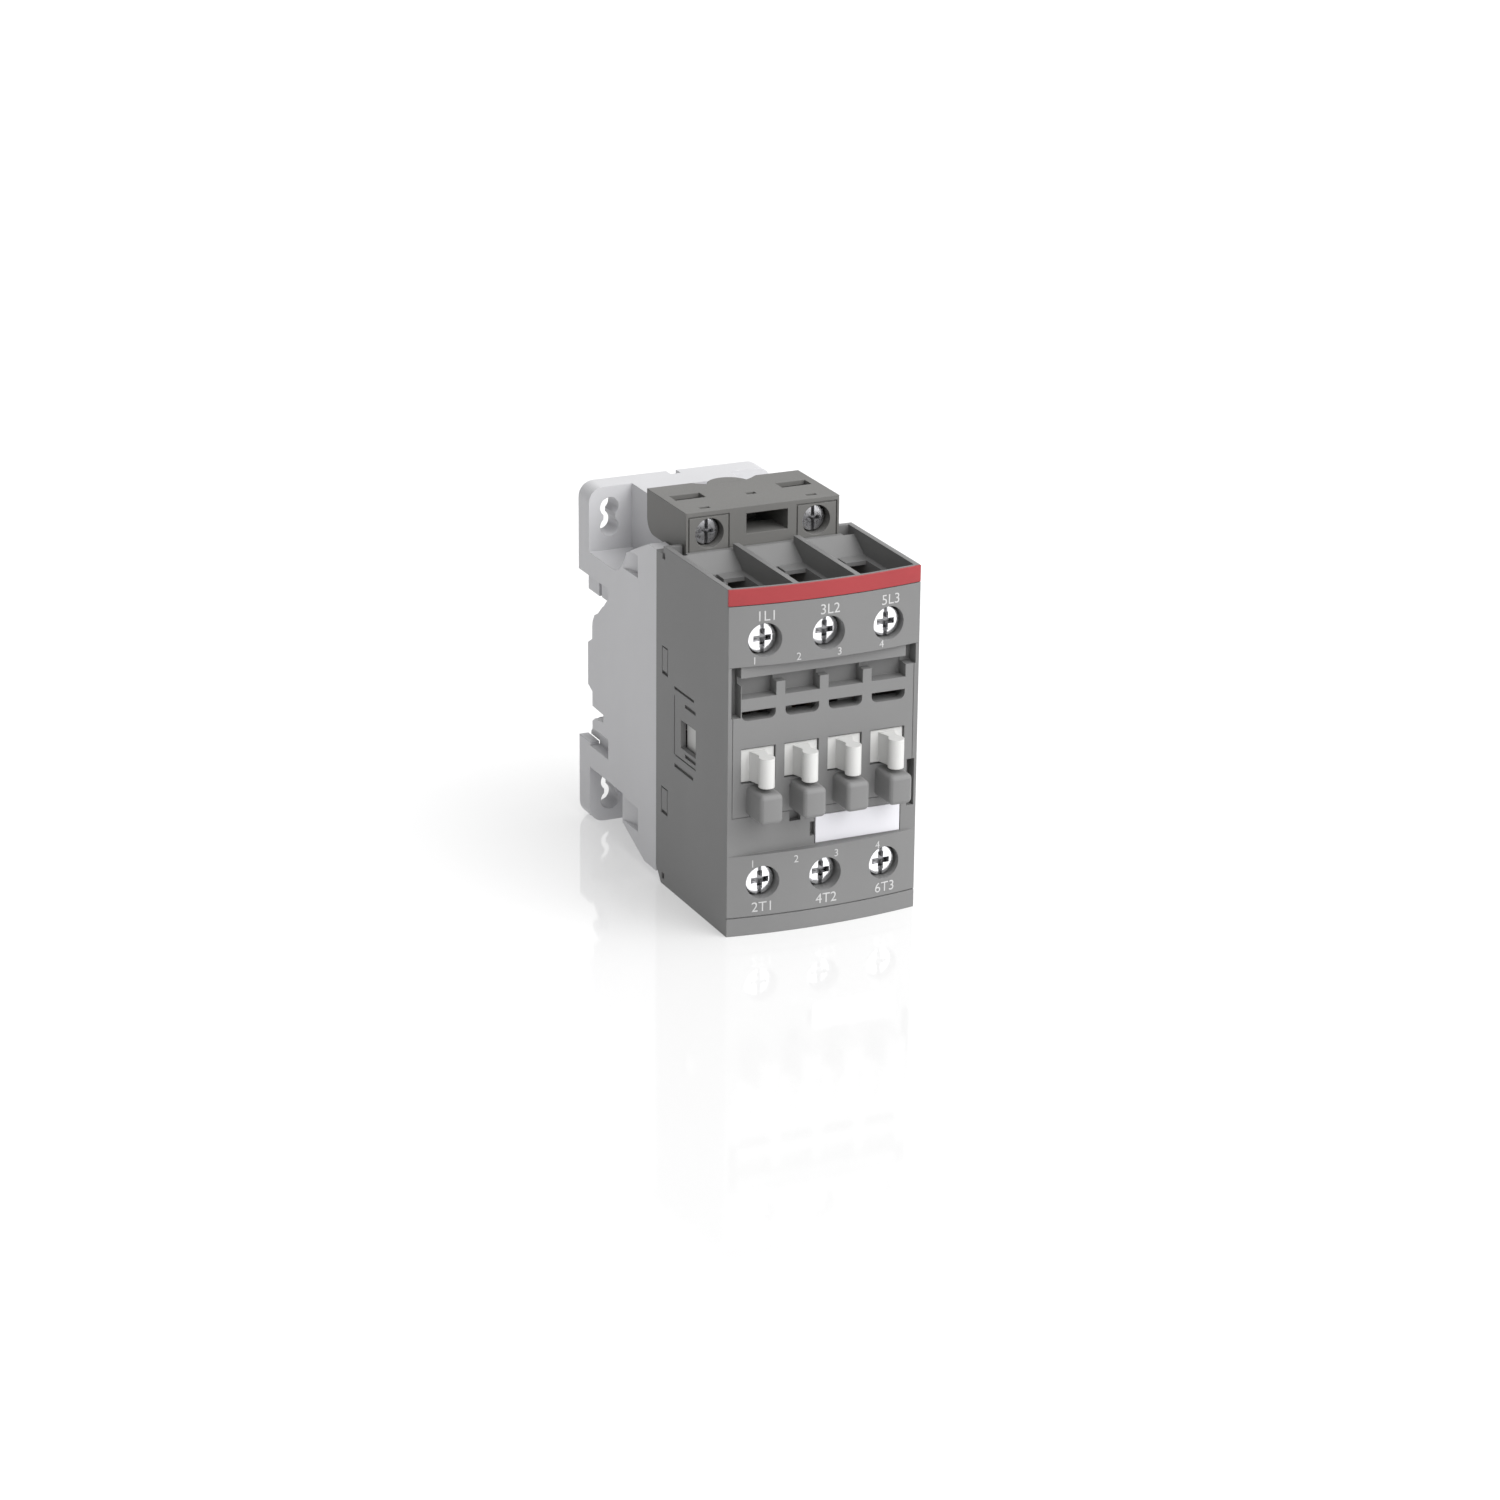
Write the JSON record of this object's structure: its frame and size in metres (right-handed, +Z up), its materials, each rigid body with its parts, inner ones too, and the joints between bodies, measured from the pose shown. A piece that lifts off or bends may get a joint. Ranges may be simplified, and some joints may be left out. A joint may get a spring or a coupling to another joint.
{
  "type": "din rail contactor",
  "caption": "Three-pole DIN rail contactor with coil terminal block, screw clamps and a sprung contact carrier showing at the front.",
  "frame": {"origin": "centre of the four mounting slots' pattern, in the plane of the lugs' backs", "axes": "+X to the right, -Y to the front (away from the panel), +Z up"},
  "size_m": [0.045, 0.0889, 0.0857],
  "materials": {
    "base_grey": "fine satin moulded thermoplastic, light grey",
    "latch_grey": "fine satin moulded thermoplastic, light grey",
    "housing_grey": "fine satin moulded thermoplastic, mid grey",
    "cover_grey": "fine satin moulded thermoplastic, mid grey",
    "block_grey": "fine satin moulded thermoplastic, mid grey",
    "band_red": "red printed band, half gloss",
    "label_white": "blank white marking label",
    "carrier_white": "white polyamide",
    "terminal_screw": "bright nickel plated steel",
    "coil_screw": "zinc plated steel, duller",
    "zinc_steel": "zinc plated steel",
    "magnet_steel": "laminated silicon steel",
    "spring_steel": "spring wire",
    "contact_bronze": "copper alloy",
    "cushion_rubber": "soft black rubber",
    "bobbin_black": "glass filled polyamide",
    "winding_copper": "enamelled copper wire under tape",
    "separator_black": "glass filled polyamide",
    "board_green": "solder resist on glass epoxy"
  },
  "bodies": {
    "casing": {"base_housing": "base_grey", "main_housing": "housing_grey", "front_cover": "cover_grey", "red_band": "band_red", "label_plate": "label_white", "coil_terminal_block": "block_grey", "fixed_core": "magnet_steel", "core_cushion": "cushion_rubber", "coil_bobbin": "bobbin_black", "coil_winding": "winding_copper", "separator_plate": "separator_black", "circuit_board": "board_green", "return_spring_left": "spring_steel", "return_spring_right": "spring_steel", "rail_latch_spring": "spring_steel", "line_contact_1": "contact_bronze", "line_contact_2": "contact_bronze", "line_contact_3": "contact_bronze", "load_contact_1": "contact_bronze", "load_contact_2": "contact_bronze", "load_contact_3": "contact_bronze", "coil_strip_a1": "contact_bronze", "coil_strip_a2": "contact_bronze"},
    "carrier": {"contact_carrier": "carrier_white", "armature": "magnet_steel", "armature_pin": "spring_steel", "contact_spring_1": "spring_steel", "contact_spring_2": "spring_steel", "contact_spring_3": "spring_steel"},
    "rail_latch": {"rail_latch": "latch_grey"},
    "bridge_1": {"bridge_1": "contact_bronze"},
    "line_screw_1": {"line_screw_1": "terminal_screw"},
    "line_clamp_1": {"line_clamp_1": "zinc_steel"},
    "load_screw_1": {"load_screw_1": "terminal_screw"},
    "load_clamp_1": {"load_clamp_1": "zinc_steel"},
    "bridge_2": {"bridge_2": "contact_bronze"},
    "line_screw_2": {"line_screw_2": "terminal_screw"},
    "line_clamp_2": {"line_clamp_2": "zinc_steel"},
    "load_screw_2": {"load_screw_2": "terminal_screw"},
    "load_clamp_2": {"load_clamp_2": "zinc_steel"},
    "bridge_3": {"bridge_3": "contact_bronze"},
    "line_screw_3": {"line_screw_3": "terminal_screw"},
    "line_clamp_3": {"line_clamp_3": "zinc_steel"},
    "load_screw_3": {"load_screw_3": "terminal_screw"},
    "load_clamp_3": {"load_clamp_3": "zinc_steel"},
    "coil_screw_a1": {"coil_screw_a1": "coil_screw"},
    "coil_clamp_a1": {"coil_clamp_a1": "zinc_steel"},
    "coil_screw_a2": {"coil_screw_a2": "coil_screw"},
    "coil_clamp_a2": {"coil_clamp_a2": "zinc_steel"}
  },
  "joints": [
    {"name": "carrier_slide", "type": "slide", "parent": "casing", "child": "carrier", "axis": [0, 1, 0], "range_m": [0, 0.005], "stiffness_N_per_m": 1200, "springref_m": -0.0015, "deforming": ["return_spring_left", "return_spring_right"]},
    {"name": "bridge_1_give", "type": "slide", "parent": "carrier", "child": "bridge_1", "axis": [0, 1, 0], "range_m": [-0.0012, 0], "deforming": ["contact_spring_1"]},
    {"name": "bridge_2_give", "type": "slide", "parent": "carrier", "child": "bridge_2", "axis": [0, 1, 0], "range_m": [-0.0012, 0], "deforming": ["contact_spring_2"]},
    {"name": "bridge_3_give", "type": "slide", "parent": "carrier", "child": "bridge_3", "axis": [0, 1, 0], "range_m": [-0.0012, 0], "deforming": ["contact_spring_3"]},
    {"name": "rail_latch_slide", "type": "slide", "parent": "casing", "child": "rail_latch", "axis": [0, 0, -1], "range_m": [0, 0.0028], "stiffness_N_per_m": 1500, "springref_m": -0.001, "deforming": ["rail_latch_spring"]},
    {"name": "line_screw_1_turn", "type": "hinge", "parent": "casing", "child": "line_screw_1", "pos_m": [-0.0145, -0.076, 0.02665], "axis": [0, 1, 0], "range_deg": [0, 1441]},
    {"name": "line_clamp_1_rise", "type": "slide", "parent": "casing", "child": "line_clamp_1", "axis": [0, -1, 0], "range_m": [0, 0.0032]},
    {"name": "load_screw_1_turn", "type": "hinge", "parent": "casing", "child": "load_screw_1", "pos_m": [-0.0145, -0.076, -0.0281], "axis": [0, 1, 0], "range_deg": [0, 1441]},
    {"name": "load_clamp_1_rise", "type": "slide", "parent": "casing", "child": "load_clamp_1", "axis": [0, -1, 0], "range_m": [0, 0.0032]},
    {"name": "line_screw_2_turn", "type": "hinge", "parent": "casing", "child": "line_screw_2", "pos_m": [0, -0.076, 0.02665], "axis": [0, 1, 0], "range_deg": [0, 1441]},
    {"name": "line_clamp_2_rise", "type": "slide", "parent": "casing", "child": "line_clamp_2", "axis": [0, -1, 0], "range_m": [0, 0.0032]},
    {"name": "load_screw_2_turn", "type": "hinge", "parent": "casing", "child": "load_screw_2", "pos_m": [0, -0.076, -0.0281], "axis": [0, 1, 0], "range_deg": [0, 1441]},
    {"name": "load_clamp_2_rise", "type": "slide", "parent": "casing", "child": "load_clamp_2", "axis": [0, -1, 0], "range_m": [0, 0.0032]},
    {"name": "line_screw_3_turn", "type": "hinge", "parent": "casing", "child": "line_screw_3", "pos_m": [0.0145, -0.076, 0.02665], "axis": [0, 1, 0], "range_deg": [0, 1441]},
    {"name": "line_clamp_3_rise", "type": "slide", "parent": "casing", "child": "line_clamp_3", "axis": [0, -1, 0], "range_m": [0, 0.0032]},
    {"name": "load_screw_3_turn", "type": "hinge", "parent": "casing", "child": "load_screw_3", "pos_m": [0.0145, -0.076, -0.0281], "axis": [0, 1, 0], "range_deg": [0, 1441]},
    {"name": "load_clamp_3_rise", "type": "slide", "parent": "casing", "child": "load_clamp_3", "axis": [0, -1, 0], "range_m": [0, 0.0032]},
    {"name": "coil_screw_a1_turn", "type": "hinge", "parent": "casing", "child": "coil_screw_a1", "pos_m": [-0.01275, -0.044, 0.0407], "axis": [0, 1, 0], "range_deg": [0, 1081]},
    {"name": "coil_clamp_a1_rise", "type": "slide", "parent": "casing", "child": "coil_clamp_a1", "axis": [0, -1, 0], "range_m": [0, 0.0018]},
    {"name": "coil_screw_a2_turn", "type": "hinge", "parent": "casing", "child": "coil_screw_a2", "pos_m": [0.01275, -0.044, 0.0407], "axis": [0, 1, 0], "range_deg": [0, 1081]},
    {"name": "coil_clamp_a2_rise", "type": "slide", "parent": "casing", "child": "coil_clamp_a2", "axis": [0, -1, 0], "range_m": [0, 0.0018]}
  ],
  "couplings": [
    {"joint": "bridge_1_give", "follows": "carrier_slide", "ratio": -0.24},
    {"joint": "bridge_2_give", "follows": "carrier_slide", "ratio": -0.24},
    {"joint": "bridge_3_give", "follows": "carrier_slide", "ratio": -0.24},
    {"joint": "line_screw_1_turn", "follows": "line_clamp_1_rise", "rad_per_m": 7854},
    {"joint": "load_screw_1_turn", "follows": "load_clamp_1_rise", "rad_per_m": 7854},
    {"joint": "line_screw_2_turn", "follows": "line_clamp_2_rise", "rad_per_m": 7854},
    {"joint": "load_screw_2_turn", "follows": "load_clamp_2_rise", "rad_per_m": 7854},
    {"joint": "line_screw_3_turn", "follows": "line_clamp_3_rise", "rad_per_m": 7854},
    {"joint": "load_screw_3_turn", "follows": "load_clamp_3_rise", "rad_per_m": 7854},
    {"joint": "coil_screw_a1_turn", "follows": "coil_clamp_a1_rise", "rad_per_m": 10472},
    {"joint": "coil_screw_a2_turn", "follows": "coil_clamp_a2_rise", "rad_per_m": 10472}
  ]
}
